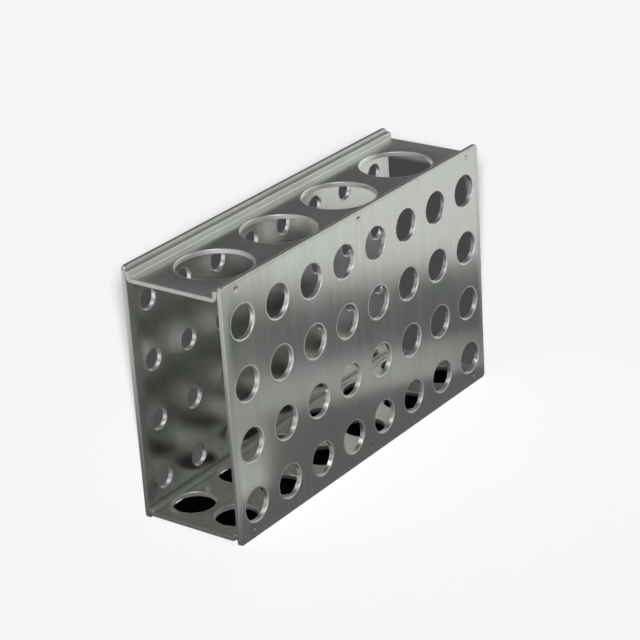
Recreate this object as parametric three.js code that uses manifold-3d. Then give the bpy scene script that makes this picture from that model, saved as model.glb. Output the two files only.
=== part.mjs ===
// Stainless-steel rack for laboratory tubes: an open-ended box of four sheets.
// Two upright plates face each other. Two shallow trays lie between them, one near the
// top and one near the bottom, and are spot-welded to them along their upturned flanges.
// Each sheet is punched for another size of tube, and any of the four can face up.
//
// Millimetres. +X runs along the rack, +Y from the front plate to the back plate, +Z up.
// The origin is on the surface that the rack stands on, under the middle of the rack.

import * as THREE from "three";
import { mergeVertices } from "three/addons/utils/BufferGeometryUtils.js";
import Module from "manifold-3d";

// Overall size; the depth follows from the sheets and the two rows of holes below
const length = 172;
const height = 106;

// Sheets
const plateThickness = 2;
const plateCornerRadius = 2;
const trayThickness = 2;
const trayBendRadius = 0.5; // inside the bend
const topFlangeRise = 2.8; // flange edge above the top tray's floor
const bottomFlangeRise = 1.2; // flange edge above the bottom tray's floor
const topTrayDrop = 1.6; // top tray's flange edge below the plates' top edges
const bottomTrayLift = 1.7; // bottom tray's underside above the plates' bottom edges

// Holes for 1.5 ml tubes in the front plate, and for 0.5 ml tubes in the back plate
const plateColumns = 8;
const plateRows = 4;
const plateEndMargin = 11.4; // from the plate's end to the centres of the last column
const plateTopMargin = 17.2; // from the top edge to the centres of the top row
const plateBottomMargin = 13.4;
const frontHoleDiameter = 13.6;
const backHoleDiameter = 8.6;

// Holes for 50 ml tubes in the top tray
const topHoles = 4;
const topEndMargin = 26; // from the tray's end to the centre of the last hole
const topHoleDiameter = 30;

// Holes for 15 ml tubes in the bottom tray
const bottomColumns = 6;
const bottomRows = 2;
const bottomEndMargin = 14.5; // from the tray's end to the centres of the last column
const bottomHoleDiameter = 17;
const bottomRowGap = 3.8; // between the holes of neighbouring rows
const bottomBendGap = 0.1; // between a hole and the start of the bend beside it

// Facets
const frontHoleSides = 24;
const backHoleSides = 20;
const topHoleSides = 48;
const bottomHoleSides = 32;
const arcDivisions = 4; // every quarter round gets twice as many facets

const bottomRowPitch = bottomHoleDiameter + bottomRowGap;
const trayFloor = bottomRows * bottomRowPitch - bottomRowGap + 2 * bottomBendGap;
const depth = trayFloor + 2 * (trayBendRadius + trayThickness + plateThickness);

const solids = await Module();
solids.setup();

// Places spread evenly from first to last.
function spread(count, first, last) {
  return Array.from({ length: count }, (_, i) => first + ((last - first) * i) / (count - 1));
}

// Places along the rack, spread evenly between equal margins at its two ends.
function alongRack(count, endMargin) {
  return spread(count, endMargin - length / 2, length / 2 - endMargin);
}

// Every pair of a place along the rack and a place across it.
function grid(columns, rows) {
  return rows.flatMap((v) => columns.map((u) => [u, v]));
}

// A plate's outline with rounded corners, its bottom edge on v = 0.
function plateOutline() {
  const r = plateCornerRadius;
  const side = length / 2 - r;
  const outline = new THREE.Shape();
  outline.absarc(side, r, r, -Math.PI / 2, 0);
  outline.absarc(side, height - r, r, 0, Math.PI / 2);
  outline.absarc(-side, height - r, r, Math.PI / 2, Math.PI);
  outline.absarc(-side, r, r, Math.PI, Math.PI * 1.5);
  return outline;
}

// A round hole as a regular polygon whose corners lie on the circle.
function hole(u, v, diameter, sides) {
  const centre = new THREE.Vector2(u, v);
  const points = Array.from({ length: sides }, (_, i) => {
    const angle = ((i + 0.5) / sides) * 2 * Math.PI;
    return new THREE.Vector2(Math.cos(angle), Math.sin(angle)).multiplyScalar(diameter / 2).add(centre);
  });
  return new THREE.Path(points);
}

// An upright plate with its grid of holes, from y = -plateThickness to y = 0.
function plateGeometry(holeDiameter, holeSides) {
  const outline = plateOutline();
  const columns = alongRack(plateColumns, plateEndMargin);
  const rows = spread(plateRows, plateBottomMargin, height - plateTopMargin);
  for (const [u, v] of grid(columns, rows)) {
    outline.holes.push(hole(u, v, holeDiameter, holeSides));
  }
  const geometry = new THREE.ExtrudeGeometry(outline, {
    depth: plateThickness,
    bevelEnabled: false,
    curveSegments: arcDivisions,
  });
  return geometry.rotateX(Math.PI / 2);
}

// A tray's bent section across the rack: a floor between two upturned flanges. Its
// underside is on v = 0, and its flanges' outer faces are as far apart as the plates.
function traySection(flangeRise) {
  const outer = depth / 2 - plateThickness;
  const inner = outer - trayThickness;
  const top = trayThickness + flangeRise;
  const r = trayBendRadius;
  const bend = r + trayThickness; // centre height of both arcs, and the outer arc's radius
  const section = new THREE.Shape();
  section.absarc(outer - bend, bend, bend, -Math.PI / 2, 0);
  section.lineTo(outer, top);
  section.lineTo(inner, top);
  section.absarc(inner - r, bend, r, 0, -Math.PI / 2, true);
  section.absarc(-inner + r, bend, r, -Math.PI / 2, -Math.PI, true);
  section.lineTo(-inner, top);
  section.lineTo(-outer, top);
  section.absarc(-outer + bend, bend, bend, Math.PI, Math.PI * 1.5);
  return section;
}

// A closed mesh as a solid that can be cut.
function toSolid(geometry) {
  geometry.deleteAttribute("normal");
  geometry.deleteAttribute("uv");
  const merged = mergeVertices(geometry);
  return new solids.Manifold(
    new solids.Mesh({
      numProp: 3,
      vertProperties: new Float32Array(merged.attributes.position.array),
      triVerts: new Uint32Array(merged.index.array),
    }),
  );
}

function toGeometry(solid) {
  const mesh = solid.getMesh();
  const geometry = new THREE.BufferGeometry();
  geometry.setAttribute("position", new THREE.BufferAttribute(mesh.vertProperties, 3));
  geometry.setIndex(new THREE.BufferAttribute(mesh.triVerts, 1));
  geometry.computeVertexNormals();
  return geometry;
}

// A tray with round holes at the given [x, y] centres, its underside on z = 0.
function trayGeometry(flangeRise, centres, holeDiameter, holeSides) {
  const sheet = new THREE.ExtrudeGeometry(traySection(flangeRise), {
    depth: length,
    bevelEnabled: false,
    curveSegments: arcDivisions,
  });
  const acrossUpAlong = new THREE.Matrix4().makeBasis(
    new THREE.Vector3(0, 1, 0),
    new THREE.Vector3(0, 0, 1),
    new THREE.Vector3(1, 0, 0),
  );
  sheet.applyMatrix4(acrossUpAlong).translate(-length / 2, 0, 0);

  const radius = holeDiameter / 2;
  const punchLength = 3 * trayThickness; // stands out of both faces
  let solid = toSolid(sheet);
  for (const [x, y] of centres) {
    const punch = new THREE.CylinderGeometry(radius, radius, punchLength, holeSides);
    punch.rotateX(Math.PI / 2).translate(x, y, trayThickness / 2);
    solid = solid.subtract(toSolid(punch));
  }
  return toGeometry(solid);
}

function steel(shade) {
  return new THREE.MeshStandardMaterial({ color: shade, roughness: 0.25, metalness: 1 });
}

function piece(name, geometry, shade, y, z) {
  const mesh = new THREE.Mesh(geometry, steel(shade));
  mesh.name = name;
  mesh.position.set(0, y, z);
  return mesh;
}

const frontPlate = piece(
  "front_plate",
  plateGeometry(frontHoleDiameter, frontHoleSides),
  0xbfc3c0,
  -depth / 2 + plateThickness,
  0,
);

const backPlate = piece(
  "back_plate",
  plateGeometry(backHoleDiameter, backHoleSides),
  0xb8bcb9,
  depth / 2,
  0,
);

const topTray = piece(
  "top_tray",
  trayGeometry(
    topFlangeRise,
    grid(alongRack(topHoles, topEndMargin), [0]),
    topHoleDiameter,
    topHoleSides,
  ),
  0xa9adab,
  0,
  height - topTrayDrop - topFlangeRise - trayThickness,
);

const lastRow = ((bottomRows - 1) * bottomRowPitch) / 2;

const bottomTray = piece(
  "bottom_tray",
  trayGeometry(
    bottomFlangeRise,
    grid(alongRack(bottomColumns, bottomEndMargin), spread(bottomRows, -lastRow, lastRow)),
    bottomHoleDiameter,
    bottomHoleSides,
  ),
  0xa9adab,
  0,
  bottomTrayLift,
);

const rack = new THREE.Group();
rack.name = "tube_rack";
rack.add(frontPlate, backPlate, topTray, bottomTray);

export default rack;
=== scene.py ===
import math

import bpy
from mathutils import Matrix, Vector
from mathutils.geometry import delaunay_2d_cdt


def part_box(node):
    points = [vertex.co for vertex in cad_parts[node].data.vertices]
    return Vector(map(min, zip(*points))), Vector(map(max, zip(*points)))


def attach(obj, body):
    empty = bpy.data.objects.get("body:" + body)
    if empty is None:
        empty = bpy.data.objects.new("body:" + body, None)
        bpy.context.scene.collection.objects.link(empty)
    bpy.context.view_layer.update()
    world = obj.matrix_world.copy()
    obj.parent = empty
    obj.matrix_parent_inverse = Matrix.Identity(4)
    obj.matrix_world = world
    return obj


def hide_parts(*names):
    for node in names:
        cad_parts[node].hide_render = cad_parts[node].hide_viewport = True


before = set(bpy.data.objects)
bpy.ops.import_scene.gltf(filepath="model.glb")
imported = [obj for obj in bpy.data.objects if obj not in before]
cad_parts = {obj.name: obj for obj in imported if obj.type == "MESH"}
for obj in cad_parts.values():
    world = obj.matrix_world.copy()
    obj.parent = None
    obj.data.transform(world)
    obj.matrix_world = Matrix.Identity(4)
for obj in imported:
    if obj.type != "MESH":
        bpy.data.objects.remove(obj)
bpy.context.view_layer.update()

MM = 0.001
RIGHT = Vector((1, 0, 0))
BACK = Vector((0, 1, 0))
UP = Vector((0, 0, 1))

# Sizes read from the frame
front_low, front_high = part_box("front_plate")
back_low, back_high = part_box("back_plate")
top_low, top_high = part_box("top_tray")
bottom_low, bottom_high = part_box("bottom_tray")
LENGTH = front_high.x - front_low.x
HEIGHT = front_high.z - front_low.z
PLATE_THICKNESS = front_high.y - front_low.y
TRAY_OUTER = top_high.y

# Sheets
TRAY_THICKNESS = 2 * MM
BEND_RADIUS = 0.5 * MM  # inside the bend
SEAM = 0.04 * MM  # hairline between a tray's flange and its plate
PLATE_CORNER = 2 * MM
TRAY_CORNER = 0.6 * MM
CORNER_STEPS = 6
PLATE_ROLL, TRAY_ROLL = 0.6 * MM, 0.4 * MM  # around the sheets' outlines
PUNCH_ROLL = 0.4 * MM  # on the side where the punch went in
BREAK_ROLL = 0.2 * MM  # on the side where it came out
LAND = 0.4 * MM  # ring around each hole, across which the rim's paint dies away
ROLL_STEPS = 5
SHEARED_RIM, PUNCHED_RIM = 0.5, 1.0  # paint: both are duller, and a hole's rim is also painted paler, a painted sheen for the light its edge catches

# Holes: radii, and the number of facets around each
PLATE_COLUMNS, PLATE_ROWS = 8, 4
PLATE_END_MARGIN = 11.4 * MM
PLATE_TOP_MARGIN = 17.2 * MM
PLATE_BOTTOM_MARGIN = 13.4 * MM
FRONT_HOLE, FRONT_SIDES = 6.8 * MM, 64
BACK_HOLE, BACK_SIDES = 4.3 * MM, 48
TOP_COLUMNS, TOP_END_MARGIN = 4, 26 * MM
TOP_HOLE, TOP_SIDES = 15 * MM, 128
BOTTOM_COLUMNS, BOTTOM_END_MARGIN = 6, 14.5 * MM
BOTTOM_ROW = 10.4 * MM  # from the middle of the tray
BOTTOM_HOLE, BOTTOM_SIDES = 8.5 * MM, 80

# Spot welds on the plates' outer faces, in a row near the top and one near the bottom
WELDS_IN_ROW = 3
WELD_END_MARGIN = 8.8 * MM
WELD_TOP_MARGIN = 3.5 * MM
WELD_BOTTOM_MARGIN = 4.3 * MM
WELD_RADIUS = 1.5 * MM
WELD_DEPTH = 0.36 * MM
WELD_TINT_RADIUS = 1.65 * MM
WELD_RINGS = (0.12, 0.4, 0.62, 0.8, 0.92, 1.0)  # shares of the radius
WELD_SIDES = 24

# Points closer than this are taken as one
ON_CREASE = 1e-7  # in metres
MERGE_BELOW = 1e-6  # in millimetres


def spread(count, first, last):
    return [first + (last - first) * i / (count - 1) for i in range(count)]


def along_rack(count, end_margin):
    return spread(count, end_margin - LENGTH / 2, LENGTH / 2 - end_margin)


# ---------------------------------------------------------------- sheet metal
# A sheet is drawn flat in (u, v), with w running into the metal from its first face, then
# folded into place. Its outline turns anticlockwise and its holes turn clockwise.


class Flat:
    """The vertices and faces of a flat sheet, with a normal and two paint values each."""

    def __init__(self):
        self.places, self.normals, self.rim, self.mark, self.faces = [], [], [], [], []

    def add(self, place, normal, rim=0.0, mark=0.0):
        self.places.append(place)
        self.normals.append(normal)
        self.rim.append(rim)
        self.mark.append(mark)
        return len(self.places) - 1


def arc(centre_u, centre_v, radius, start, turn, count):
    """Points on an arc, each with the direction that points away from the arc's centre."""
    points = []
    for i in range(count + 1):
        angle = start + turn * i / count
        away = (math.cos(angle), math.sin(angle))
        points.append(((centre_u + radius * away[0], centre_v + radius * away[1]), away))
    return points


def rounded_outline(low, high, corner, breaks=()):
    """A rectangle with round corners. breaks are values of v where the two ends get a point."""
    (u0, v0), (u1, v1), c = low, high, corner
    quarter = math.pi / 2
    inner = [v for v in breaks if v0 + c < v < v1 - c]
    outline = arc(u1 - c, v0 + c, c, -quarter, quarter, CORNER_STEPS)
    outline += [((u1, v), (1, 0)) for v in inner]
    outline += arc(u1 - c, v1 - c, c, 0, quarter, CORNER_STEPS)
    outline += arc(u0 + c, v1 - c, c, quarter, quarter, CORNER_STEPS)
    outline += [((u0, v), (-1, 0)) for v in reversed(inner)]
    outline += arc(u0 + c, v0 + c, c, 2 * quarter, quarter, CORNER_STEPS)
    return outline


def round_hole(u, v, radius, sides):
    """A circle turning clockwise, with directions that point into the hole."""
    circle = arc(u, v, radius, 0, -2 * math.pi, sides)[:-1]
    return [(point, (-away[0], -away[1])) for point, away in circle]


def edge_profile(thickness, first_roll, last_roll):
    """Offset into the metal, depth, and the normal's share into the void and along w."""
    turns = [math.pi / 2 * i / ROLL_STEPS for i in range(ROLL_STEPS + 1)]
    profile = []
    for turn in turns:
        s, c = math.sin(turn), math.cos(turn)
        profile.append((first_roll * (1 - s), first_roll * (1 - c), s, -c))
    for turn in turns:
        s, c = math.cos(turn), math.sin(turn)
        profile.append((last_roll * (1 - s), thickness - last_roll * (1 - c), s, c))
    return profile


def add_edge(flat, contour, profile, rim):
    """Skins an edge from one face to the other; returns its ring on each face."""
    rings = []
    for offset, w, into_void, along in profile:
        ring = []
        for (u, v), (nu, nv) in contour:
            place = (u - nu * offset, v - nv * offset, w)
            ring.append(flat.add(place, (nu * into_void, nv * into_void, along), rim=rim))
        rings.append(ring)
    count = len(contour)
    for upper, lower in zip(rings, rings[1:]):
        for i in range(count):
            j = (i + 1) % count
            flat.faces.append((lower[i], lower[j], upper[j], upper[i]))
    return rings[0], rings[-1]


def ring_around(flat, u, v, radius, sides, w, slope, facing, mark=0.0):
    """A ring of points on a face; slope tips their normals towards the ring's centre."""
    ring = []
    for (pu, pv), away in arc(u, v, radius, 0, 2 * math.pi, sides)[:-1]:
        normal = Vector((-slope * away[0], -slope * away[1], facing)).normalized()
        ring.append(flat.add((pu, pv, w), tuple(normal), mark=mark))
    return ring


def add_weld(flat, u, v):
    """A shallow round dimple in the first face, with a ring of heat tint; returns its rings."""
    rings = []
    for share in WELD_RINGS:
        phase = math.pi * share
        depth = WELD_DEPTH * (1 + math.cos(phase)) / 2
        slope = WELD_DEPTH * math.pi / 2 * math.sin(phase) / WELD_RADIUS
        radius = WELD_RADIUS * share
        rings.append(ring_around(flat, u, v, radius, WELD_SIDES, depth, slope, -1, mark=1.0))
    rings.append(ring_around(flat, u, v, WELD_TINT_RADIUS, WELD_SIDES, 0, 0, -1))
    return rings


def fill_face(flat, rings, creases, holes, w, facing):
    """Triangles between rings of points on one face, leaving the holes open."""
    index = [i for ring in rings for i in ring]
    place = {i: n for n, i in enumerate(index)}
    edges = []
    for ring in rings:
        edges += [(place[a], place[b]) for a, b in zip(ring, ring[1:] + ring[:1])]
    edges += [(place[a], place[b]) for a, b in creases]
    points = [Vector(flat.places[i][:2]) / MM for i in index]
    made, _, triangles, origins, _, _ = delaunay_2d_cdt(points, edges, [], 0, MERGE_BELOW)
    number = []
    for point, origin in zip(made, origins):
        if origin:
            number.append(index[origin[0]])
        else:
            number.append(flat.add((point.x * MM, point.y * MM, w), (0, 0, facing)))
    for triangle in triangles:
        middle = sum((made[n] for n in triangle), Vector((0, 0))) / 3 * MM
        if any((middle - Vector(centre)).length < radius for centre, radius in holes):
            continue
        corners = [number[n] for n in triangle]
        flat.faces.append(tuple(corners if facing < 0 else reversed(corners)))


def make_sheet(name, outline, roll, holes, thickness, fold, welds=(), crease_v=()):
    """holes are (u, v, radius, sides), and welds are (u, v) on the first face. fold turns a
    place and a normal into the real ones. crease_v are values of v where the sheet bends."""
    flat = Flat()
    first, last = add_edge(flat, outline, edge_profile(thickness, roll, roll), SHEARED_RIM)
    first_rings, last_rings = [first], [last]

    profile = edge_profile(thickness, PUNCH_ROLL, BREAK_ROLL)
    for u, v, radius, sides in holes:
        first, last = add_edge(flat, round_hole(u, v, radius, sides), profile, PUNCHED_RIM)
        first_land, last_land = radius + PUNCH_ROLL + LAND, radius + BREAK_ROLL + LAND
        first_rings += [first, ring_around(flat, u, v, first_land, sides, 0, 0, -1)]
        last_rings += [last, ring_around(flat, u, v, last_land, sides, thickness, 0, 1)]
    for u, v in welds:
        first_rings += add_weld(flat, u, v)

    def crease_ends(ring):
        pairs = []
        for v in crease_v:
            ends = [i for i in ring if abs(flat.places[i][1] - v) < ON_CREASE]
            ends.sort(key=lambda i: flat.places[i][0])
            pairs.append((ends[0], ends[-1]))
        return pairs

    open_first = [((u, v), radius + PUNCH_ROLL / 2) for u, v, radius, _ in holes]
    open_last = [((u, v), radius + BREAK_ROLL / 2) for u, v, radius, _ in holes]
    fill_face(flat, first_rings, crease_ends(first_rings[0]), open_first, 0, -1)
    fill_face(flat, last_rings, crease_ends(last_rings[0]), open_last, thickness, 1)

    folded = [fold(Vector(p), Vector(n)) for p, n in zip(flat.places, flat.normals)]
    mesh = bpy.data.meshes.new(name)
    mesh.from_pydata([p for p, _ in folded], [], flat.faces)
    mesh.shade_smooth()
    mesh.normals_split_custom_set_from_vertices([n for _, n in folded])
    for attribute, values in (("rim", flat.rim), ("mark", flat.mark)):
        mesh.attributes.new(attribute, "FLOAT", "POINT").data.foreach_set("value", values)
    sheet = bpy.data.objects.new(name, mesh)
    bpy.context.scene.collection.objects.link(sheet)
    return sheet


# ---------------------------------------------------------------- the four sheets


def flat_fold(origin, along, into):
    """Stands a flat sheet upright: u along the rack, v up, w into the metal."""

    def fold(place, normal):
        return (
            origin + along * place.x + UP * place.y + into * place.z,
            along * normal.x + UP * normal.y + into * normal.z,
        )

    return fold


def make_plate(name, y, into, hole_radius, hole_sides):
    along = RIGHT if into.y > 0 else -RIGHT
    columns = along_rack(PLATE_COLUMNS, PLATE_END_MARGIN)
    rows = spread(PLATE_ROWS, PLATE_BOTTOM_MARGIN, HEIGHT - PLATE_TOP_MARGIN)
    holes = [(u, v, hole_radius, hole_sides) for v in rows for u in columns]
    outline = rounded_outline((-LENGTH / 2, 0), (LENGTH / 2, HEIGHT), PLATE_CORNER)
    weld_rows = (WELD_BOTTOM_MARGIN, HEIGHT - WELD_TOP_MARGIN)
    welds = [(u, v) for v in weld_rows for u in along_rack(WELDS_IN_ROW, WELD_END_MARGIN)]
    fold = flat_fold(Vector((0, y, 0)), along, into)
    return make_sheet(name, outline, PLATE_ROLL, holes, PLATE_THICKNESS, fold, welds)


FLOOR_HALF = TRAY_OUTER - TRAY_THICKNESS - BEND_RADIUS
NEUTRAL_RADIUS = BEND_RADIUS + TRAY_THICKNESS / 2
BEND_LENGTH = NEUTRAL_RADIUS * math.pi / 2
BEND_STEPS = 10  # facets around a bend


def tray_fold(floor_z):
    """Bends the two long edges of a flat tray upwards; w runs down from the floor's top."""

    def fold(place, normal):
        side = 1 if place.y >= 0 else -1
        beyond = abs(place.y) - FLOOR_HALF
        angle = min(max(beyond, 0) / NEUTRAL_RADIUS, math.pi / 2)
        radius = BEND_RADIUS + place.z
        if place.z > TRAY_THICKNESS / 2:
            radius -= SEAM
        out = min(beyond, 0) + FLOOR_HALF + radius * math.sin(angle)
        up = BEND_RADIUS - radius * math.cos(angle) + max(beyond - BEND_LENGTH, 0)
        if beyond <= 0:
            up = -place.z
        normal_out = normal.y * side * math.cos(angle) + normal.z * math.sin(angle)
        normal_up = normal.y * side * math.sin(angle) - normal.z * math.cos(angle)
        return (
            Vector((place.x, side * out, floor_z + up)),
            Vector((normal.x, side * normal_out, normal_up)),
        )

    return fold


def make_tray(name, low, high, holes):
    straight = high.z - low.z - TRAY_THICKNESS - BEND_RADIUS
    half = FLOOR_HALF + BEND_LENGTH + straight
    bends = spread(BEND_STEPS + 1, FLOOR_HALF, FLOOR_HALF + BEND_LENGTH)
    crease_v = [-v for v in reversed(bends)] + bends
    outline = rounded_outline((-LENGTH / 2, -half), (LENGTH / 2, half), TRAY_CORNER, crease_v)
    fold = tray_fold(low.z + TRAY_THICKNESS)
    return make_sheet(name, outline, TRAY_ROLL, holes, TRAY_THICKNESS, fold, crease_v=crease_v)


front_plate = make_plate("front_plate_sheet", front_low.y, BACK, FRONT_HOLE, FRONT_SIDES)
back_plate = make_plate("back_plate_sheet", back_high.y, -BACK, BACK_HOLE, BACK_SIDES)

top_holes = [(u, 0, TOP_HOLE, TOP_SIDES) for u in along_rack(TOP_COLUMNS, TOP_END_MARGIN)]
top_tray = make_tray("top_tray_sheet", top_low, top_high, top_holes)

bottom_places = along_rack(BOTTOM_COLUMNS, BOTTOM_END_MARGIN)
bottom_rows = (-BOTTOM_ROW, BOTTOM_ROW)
bottom_holes = [(u, v, BOTTOM_HOLE, BOTTOM_SIDES) for v in bottom_rows for u in bottom_places]
bottom_tray = make_tray("bottom_tray_sheet", bottom_low, bottom_high, bottom_holes)


# ---------------------------------------------------------------- brushed steel

# Noise in the steel: its width across the scratches and its length along them, in
# millimetres, and its detail
SCRATCHES = (0.22, 14, 2)
BANDS = (1.6, 60, 2)
CLOUDS = (22, 22, 3)
WAVES = (48, 70, 0)

DARK_BANDS, LIGHT_BANDS = 0.93, 1.03  # times the steel's own tone
GREENISH, PINKISH = (0.935, 1.0, 0.925, 1), (1.0, 0.975, 0.965, 1)  # times that, in clouds
HEAT_TINT, HEAT_SHARE = (0.30, 0.28, 0.25, 1), 0.2  # the share mixed in on a weld
RIM_SHEEN_PAINT, RIM_SHEEN_FROM = (0.84, 0.85, 0.83, 1), SHEARED_RIM + 0.1  # painted sheen on the holes' rims, and the paint value where it sets in

# Added to the roughness
SCRATCH_ROUGHNESS = (-0.03, 0.05)
CLOUD_ROUGHNESS = (-0.02, 0.05)
RIM_ROUGHNESS = 0.2

# Bumps: their height, and how much of it shows, which for scratches each steel sets itself
WAVE_HEIGHT, WAVE_RELIEF = 0.35 * MM, 0.35
SCRATCH_HEIGHT = 0.02 * MM


class Nodes:
    """Short calls for the nodes of a material or a world."""

    def __init__(self, owner):
        self.tree = owner.node_tree
        self.tree.nodes.clear()

    def add(self, kind, inputs=None, **settings):
        node = self.tree.nodes.new(kind)
        for key, value in settings.items():
            setattr(node, key, value)
        for key, value in (inputs or {}).items():
            if isinstance(value, bpy.types.NodeSocket):
                self.tree.links.new(value, node.inputs[key])
            else:
                node.inputs[key].default_value = value
        return node

    def noise(self, place, detail):
        inputs = {"Vector": place, "Scale": 1.0, "Detail": detail}
        return self.add("ShaderNodeTexNoise", inputs).outputs["Fac"]

    def remap(self, value, low, high, from_low=0.3, from_high=0.7, **settings):
        """From a range, by default the one that noise mostly fills, to low and high."""
        inputs = {"Value": value, "From Min": from_low, "From Max": from_high}
        inputs.update({"To Min": low, "To Max": high})
        return self.add("ShaderNodeMapRange", inputs, **settings).outputs["Result"]

    def step(self, value, start, end):
        """A soft step from 0 at start to 1 at end."""
        return self.remap(value, 0, 1, start, end, interpolation_type="SMOOTHSTEP")

    def math(self, operation, a, b):
        return self.add("ShaderNodeMath", {0: a, 1: b}, operation=operation).outputs[0]

    def grey(self, tone):
        return self.add("ShaderNodeCombineColor", {0: tone, 1: tone, 2: tone}).outputs[0]

    def mix(self, factor, a, b, blend="MIX"):
        node = self.add("ShaderNodeMix", data_type="RGBA", blend_type=blend)
        for key, value in {"Factor": factor, "A": a, "B": b}.items():
            socket = [s for s in node.inputs if s.name == key and s.enabled][0]
            if isinstance(value, bpy.types.NodeSocket):
                self.tree.links.new(value, socket)
            else:
                socket.default_value = value
        return [s for s in node.outputs if s.enabled][0]


def new_material(name):
    """An empty material and its nodes."""
    material = bpy.data.materials.new(name)
    material.use_nodes = True
    return material, Nodes(material)


def brushed_steel(name, brush, tone, roughness, relief):
    """Satin stainless steel whose scratches run along the brush axis."""
    material, n = new_material(name)
    place = n.add("ShaderNodeTexCoord").outputs["Object"]

    def stretched_noise(across, along, detail):
        scale = [1 / (along * MM) if axis == brush else 1 / (across * MM) for axis in "XYZ"]
        stretched = n.add("ShaderNodeMapping", {"Vector": place, "Scale": scale})
        return n.noise(stretched.outputs["Vector"], detail)

    scratches = stretched_noise(*SCRATCHES)
    bands = stretched_noise(*BANDS)
    clouds = stretched_noise(*CLOUDS)
    waves = stretched_noise(*WAVES)
    rim = n.add("ShaderNodeAttribute", attribute_name="rim").outputs["Fac"]
    mark = n.add("ShaderNodeAttribute", attribute_name="mark").outputs["Fac"]

    dark = tuple(c * DARK_BANDS for c in tone) + (1,)
    light = tuple(c * LIGHT_BANDS for c in tone) + (1,)
    colour = n.mix(n.remap(bands, 0, 1), dark, light)
    colour = n.mix(1.0, colour, n.mix(n.remap(clouds, 0, 1), GREENISH, PINKISH), "MULTIPLY")
    colour = n.mix(n.remap(mark, 0, HEAT_SHARE, 0, 1), colour, HEAT_TINT)
    # Hole rims are painted paler: a painted sheen for the light their rolled edges catch.
    colour = n.mix(n.remap(rim, 0, 1, RIM_SHEEN_FROM, PUNCHED_RIM), colour, RIM_SHEEN_PAINT)

    matt = n.remap(scratches, *[roughness + change for change in SCRATCH_ROUGHNESS])
    matt = n.math("ADD", matt, n.remap(clouds, *CLOUD_ROUGHNESS))
    matt = n.math("ADD", matt, n.remap(rim, 0, RIM_ROUGHNESS, 0, SHEARED_RIM))

    bump = {"Height": waves, "Strength": WAVE_RELIEF, "Distance": WAVE_HEIGHT}
    waved = n.add("ShaderNodeBump", bump).outputs["Normal"]
    bump = {"Height": scratches, "Strength": relief, "Distance": SCRATCH_HEIGHT}
    scratched = n.add("ShaderNodeBump", {**bump, "Normal": waved}).outputs["Normal"]
    shader = n.add(
        "ShaderNodeBsdfPrincipled",
        {"Base Color": colour, "Metallic": 1.0, "Roughness": matt, "Normal": scratched},
    )
    n.add("ShaderNodeOutputMaterial", {"Surface": shader.outputs["BSDF"]})
    return material


plate_steel = brushed_steel(
    "plate_steel", brush="Z", tone=(0.590, 0.598, 0.585), roughness=0.17, relief=0.22
)
tray_steel = brushed_steel(
    "tray_steel", brush="X", tone=(0.584, 0.588, 0.58), roughness=0.20, relief=0.08
)

for sheet, node, steel, slot in (
    (front_plate, "front_plate", plate_steel, "plate_steel"),
    (back_plate, "back_plate", plate_steel, "plate_steel"),
    (top_tray, "top_tray", tray_steel, "tray_steel"),
    (bottom_tray, "bottom_tray", tray_steel, "tray_steel"),
):
    sheet.data.materials.append(steel)
    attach(sheet, "root")
    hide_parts(node)


# ---------------------------------------------------------------- floor, light and camera


def direction(azimuth, elevation):
    """Away from the rack. Azimuth 0 is -Y, 90 is +X; elevation is above the floor."""
    a, e = math.radians(azimuth), math.radians(elevation)
    return Vector((math.sin(a) * math.cos(e), -math.cos(a) * math.cos(e), math.sin(e)))


AIM = Vector((0, 0, HEIGHT / 2))


def only_on(lamp, name, receivers):
    """Lets a lamp light nothing but these objects."""
    lit = bpy.data.collections.new(name)
    for receiver in receivers:
        lit.objects.link(receiver)
    lamp.light_linking.receiver_collection = lit


def soft_box(name, azimuth, elevation, distance, width, height, radiance):
    """A rectangular lamp, in metres, whose face has the given radiance, where 1 is white."""
    lamp = bpy.data.lights.new(name, "AREA")
    lamp.shape = "RECTANGLE"
    lamp.size, lamp.size_y = width, height
    lamp.energy = radiance * math.pi * width * height
    box = bpy.data.objects.new(name, lamp)
    away = direction(azimuth, elevation)
    box.location = AIM + away * distance
    box.rotation_euler = away.to_track_quat("Z", "Y").to_euler()
    bpy.context.scene.collection.objects.link(box)
    return box


def sun(name, azimuth, elevation, spread, strength):
    """A distant lamp that seems as wide in the sky as its spread, in degrees."""
    lamp = bpy.data.lights.new(name, "SUN")
    lamp.energy = strength
    lamp.angle = math.radians(spread)
    beam = bpy.data.objects.new(name, lamp)
    beam.rotation_euler = direction(azimuth, elevation).to_track_quat("Z", "Y").to_euler()
    bpy.context.scene.collection.objects.link(beam)
    return beam


def flat_face(name, corners, material=None):
    """An object that is one flat face."""
    mesh = bpy.data.meshes.new(name)
    mesh.from_pydata(corners, [], [tuple(range(len(corners)))])
    face = bpy.data.objects.new(name, mesh)
    if material:
        face.data.materials.append(material)
    bpy.context.scene.collection.objects.link(face)
    return face


def level_corners(x, y, z):
    """The corners of a level rectangle around the middle of the rack."""
    return [(-x, -y, z), (x, -y, z), (x, y, z), (-x, y, z)]


def hide_from(face, *rays):
    """Makes an object unseen by these kinds of ray."""
    for ray in rays:
        setattr(face, "visible_" + ray, False)


def matt_material(name, colour):
    """One even colour without gloss, for the stage."""
    material, n = new_material(name)
    matt = n.add("ShaderNodeBsdfDiffuse", {"Color": colour})
    n.add("ShaderNodeOutputMaterial", {"Surface": matt.outputs[0]})
    return material


FLOOR_RADIUS, FLOOR_SIDES = 8.0, 64
FLOOR_COLOUR = (0.9, 0.9, 0.9, 1)

floor_rim = arc(0, 0, FLOOR_RADIUS, 0, 2 * math.pi, FLOOR_SIDES)[:-1]
floor_corners = [(x, y, 0) for (x, y), _ in floor_rim]
floor = flat_face("floor", floor_corners, matt_material("pale_floor", FLOOR_COLOUR))
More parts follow.
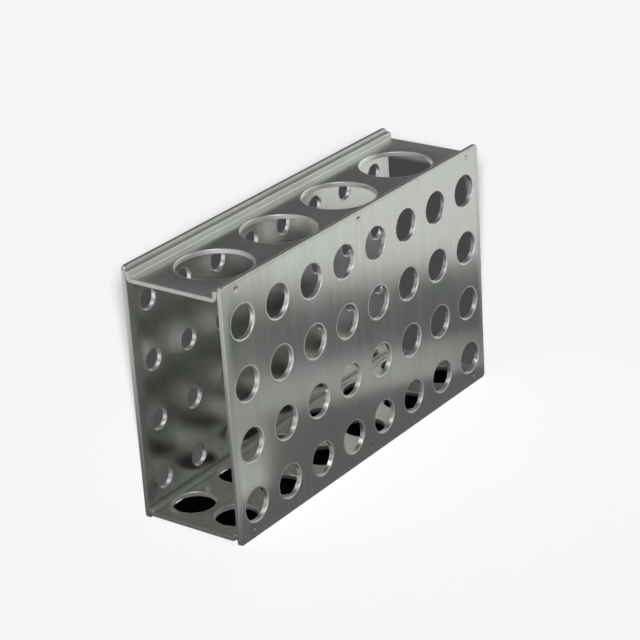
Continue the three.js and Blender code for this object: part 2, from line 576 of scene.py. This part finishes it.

# A dark card on the floor, seen only in reflections, gives the steel its dark tones: its tones
# are painted reflections. It lies askew and has soft edges. A paler strip crosses it in front
# of the rack, and a part on its left is paler beside the rack and darkens away from it,
# painting lighter bands into the steel.
CARD_REACH = 315 * MM  # half the mesh, of which only the card in its middle shows
CARD_LIFT = 0.3 * MM
CARD_TURN = math.radians(32)
CARD_HALF = 210 * MM  # sideways
CARD_EDGE = 188 * MM  # forward and backward
CARD_SOFT = 8 * MM
CARD_BEND, CARD_BEND_SLOPE = 50 * MM, 0.25  # the far edge turns outwards to the left of here
CARD_TONE, STRIP_TONE = 0.148, 0.453

# Each of these soft edges goes from nothing at its first place to full at its second.
STRIP_NEAR, STRIP_FAR = (72 * MM, 78 * MM), (113 * MM, 107 * MM)
STRIP_FADE = (110 * MM, 25 * MM)  # sideways
LEFT_TURN = math.radians(52)
LEFT_SIDE = (-58 * MM, -62 * MM)  # across the card, as the main view sees it in the front plate
LEFT_NEAR = (41 * MM, 49 * MM)
LEFT_FAR = 150 * MM
LEFT_TONES = (0.61, 0.12)  # at its near side and its far one


def card_material():
    material, n = new_material("dark_card")
    place = n.add("ShaderNodeTexCoord").outputs["Object"]

    def along(x, y):
        inputs = {0: place, 1: (x, y, 0)}
        return n.add("ShaderNodeVectorMath", inputs, operation="DOT_PRODUCT").outputs["Value"]

    forward = along(math.sin(CARD_TURN), -math.cos(CARD_TURN))
    sideways = along(math.cos(CARD_TURN), math.sin(CARD_TURN))
    strip = n.math("MULTIPLY", n.step(forward, *STRIP_NEAR), n.step(forward, *STRIP_FAR))
    strip = n.math("MULTIPLY", strip, n.step(sideways, *STRIP_FADE))
    tone = n.remap(strip, CARD_TONE, STRIP_TONE, 0, 1)

    across = along(math.cos(LEFT_TURN), math.sin(LEFT_TURN))
    outward = along(0, -1)
    left = n.math("MULTIPLY", n.step(across, *LEFT_SIDE), n.step(outward, *LEFT_NEAR))
    left = n.math("MULTIPLY", left, n.remap(outward, *LEFT_TONES, LEFT_NEAR[0], LEFT_FAR))
    # The card's tone: painted reflections, dark or paler where the steel is to reflect dark or
    # light.
    shade = n.grey(n.math("MAXIMUM", tone, left))

    past_bend = n.math("MINIMUM", n.math("SUBTRACT", sideways, CARD_BEND), 0)
    bend = n.math("MULTIPLY", past_bend, CARD_BEND_SLOPE)
    backward = n.math("MULTIPLY", forward, -1)
    outmost = n.math("MAXIMUM", n.math("ADD", forward, bend), backward)
    cover = n.step(outmost, CARD_EDGE + CARD_SOFT, CARD_EDGE - CARD_SOFT)
    beside = n.math("ABSOLUTE", sideways, 0)
    cover = n.math("MULTIPLY", cover, n.step(beside, CARD_HALF, CARD_HALF - 2 * CARD_SOFT))

    dark = n.add("ShaderNodeBsdfDiffuse", {"Color": shade})
    clear = n.add("ShaderNodeBsdfTransparent")
    mixed = n.add("ShaderNodeMixShader", {0: cover, 1: clear.outputs[0], 2: dark.outputs[0]})
    n.add("ShaderNodeOutputMaterial", {"Surface": mixed.outputs[0]})
    return material


card_corners = level_corners(CARD_REACH, CARD_REACH, CARD_LIFT)
card = flat_face("dark_card", card_corners, card_material())
hide_from(card, "camera", "diffuse", "transmission", "shadow")

# A near-black sheet on the floor under the rack, which shows only through the bottom tray's
# holes, is painted deep shade.
UNDER_X, UNDER_Y = LENGTH / 2 - 4 * MM, TRAY_OUTER - 1 * MM
UNDER_LIFT = 0.1 * MM
UNDER_COLOUR = (0.01, 0.01, 0.01, 1)

under_corners = level_corners(UNDER_X, UNDER_Y, UNDER_LIFT)
under = flat_face("shade_under_rack", under_corners, matt_material("painted_deep_shade", UNDER_COLOUR))

# One low sun lights the floor and the card, and each has a fill of its own from above. Soft
# lamps light the steel alone.
sheets = (front_plate, back_plate, top_tray, bottom_tray)
floor_light = sun("floor_light", azimuth=-53, elevation=20.6, spread=3, strength=8.46)
only_on(floor_light, "lit_floor", (floor, card))
floor_fill = sun("floor_fill", azimuth=0, elevation=90, spread=130, strength=0.20)
only_on(floor_fill, "filled_floor", (floor,))
card_fill = sun("card_fill", azimuth=0, elevation=90, spread=130, strength=0.47)
only_on(card_fill, "filled_card", (card,))
key_light = soft_box(
    "key_light", azimuth=-50, elevation=38, distance=1.2, width=0.35, height=0.35, radiance=12
)
only_on(key_light, "lit_by_key", sheets)
side_light = soft_box(
    "side_light", azimuth=52, elevation=32, distance=1.6, width=1.2, height=1.0, radiance=0.9
)
only_on(side_light, "lit_by_side", sheets)
tray_light = soft_box(
    "tray_light", azimuth=58, elevation=34, distance=1.6, width=1.2, height=1.0, radiance=0.9
)
only_on(tray_light, "lit_by_tray_light", (top_tray,))
back_light = soft_box(
    "back_light", azimuth=-144, elevation=47, distance=1.2, width=0.6, height=0.6, radiance=1.3
)
only_on(back_light, "lit_by_back", (front_plate, back_plate, top_tray))

# Flags inside the plates and the top tray stop the floor light at their holes, so that the
# shadow behind the rack, which shows through the holes, is whole. They are never seen.
# Each widens past one end of the rack, where the last holes would see beyond the shadow: the
# front one and the level one to the right, and the back one upwards to the left.
FLAG_INSET = 1 * MM
FLAG_END, FLAG_TOP = LENGTH / 2 - FLAG_INSET, HEIGHT - FLAG_INSET
FRONT_WING, FRONT_WING_TOP = FLAG_END + 32 * MM, 94 * MM
BACK_WING = FLAG_END + 41 * MM
TRAY_WING = FLAG_END + 12 * MM

front_middle, back_middle = (front_low.y + front_high.y) / 2, (back_low.y + back_high.y) / 2
tray_middle = top_low.z + TRAY_THICKNESS / 2
front_outline = (
    (-FLAG_END, FLAG_INSET),
    (FLAG_END, FLAG_INSET),
    (FRONT_WING, FRONT_WING_TOP),
    (FLAG_END, FRONT_WING_TOP),
    (FLAG_END, FLAG_TOP),
    (-FLAG_END, FLAG_TOP),
)
back_outline = (
    (-FLAG_END, FLAG_INSET),
    (FLAG_END, FLAG_INSET),
    (FLAG_END, FLAG_TOP),
    (-BACK_WING, FLAG_TOP),
)
tray_outline = (
    (-FLAG_END, -TRAY_OUTER),
    (TRAY_WING, -TRAY_OUTER),
    (TRAY_WING, TRAY_OUTER),
    (-FLAG_END, TRAY_OUTER),
)
for name, corners in (
    ("front_flag", [(x, front_middle, z) for x, z in front_outline]),
    ("back_flag", [(x, back_middle, z) for x, z in back_outline]),
    ("top_flag", [(x, y, tray_middle) for x, y in tray_outline]),
):
    flag = flat_face(name, corners)
    hide_from(flag, "camera", "diffuse", "glossy", "transmission")

# Under the soft lamps only the sheets cast shadows.
casters = bpy.data.collections.new("casters")
for sheet in sheets:
    casters.objects.link(sheet)
for lamp in (key_light, side_light, tray_light, back_light):
    lamp.light_linking.blocker_collection = casters

BAND_TONE, SKY_TONE = 0.85, 0.12
BAND_START, BAND_END = math.radians(8), math.radians(16)  # elevations between which it dims


def world_material(world):
    """A pale band around the horizon, and a dim ceiling above it."""
    world.use_nodes = True
    n = Nodes(world)
    place = n.add("ShaderNodeTexCoord").outputs["Generated"]
    up = n.add("ShaderNodeSeparateXYZ", {0: place}).outputs["Z"]
    tone = n.remap(up, BAND_TONE, SKY_TONE, math.sin(BAND_START), math.sin(BAND_END))
    light = n.add("ShaderNodeBackground", {"Color": n.grey(tone)})
    n.add("ShaderNodeOutputWorld", {"Surface": light.outputs[0]})


world = bpy.data.worlds.new("studio")
bpy.context.scene.world = world
world_material(world)
world.cycles_visibility.diffuse = False  # the floor and the card have their own fills

# The photograph's viewpoint: degrees, metres, and millimetres for the lens and the sensor
CAMERA_AZIMUTH, CAMERA_ELEVATION, CAMERA_ROLL = -52.62, 23.8, -3.71
CAMERA_DISTANCE = 0.920
CAMERA_TARGET = Vector((2.48 * MM, 0, 54.2 * MM))
CAMERA_LENS, CAMERA_SENSOR = 129.32, 36

camera_data = bpy.data.cameras.new("camera")
camera_data.sensor_width = CAMERA_SENSOR
camera_data.lens = CAMERA_LENS
camera = bpy.data.objects.new("camera", camera_data)
backward = direction(CAMERA_AZIMUTH, CAMERA_ELEVATION)
level = UP.cross(backward).normalized()
upward = backward.cross(level)
roll = math.radians(CAMERA_ROLL)
across = level * math.cos(roll) + upward * math.sin(roll)
above = upward * math.cos(roll) - level * math.sin(roll)
turned = Matrix((across, above, backward)).transposed().to_4x4()
camera.matrix_world = Matrix.Translation(CAMERA_TARGET + backward * CAMERA_DISTANCE) @ turned
bpy.context.scene.collection.objects.link(camera)
bpy.context.scene.camera = camera
bpy.context.scene.view_settings.view_transform = "Standard"
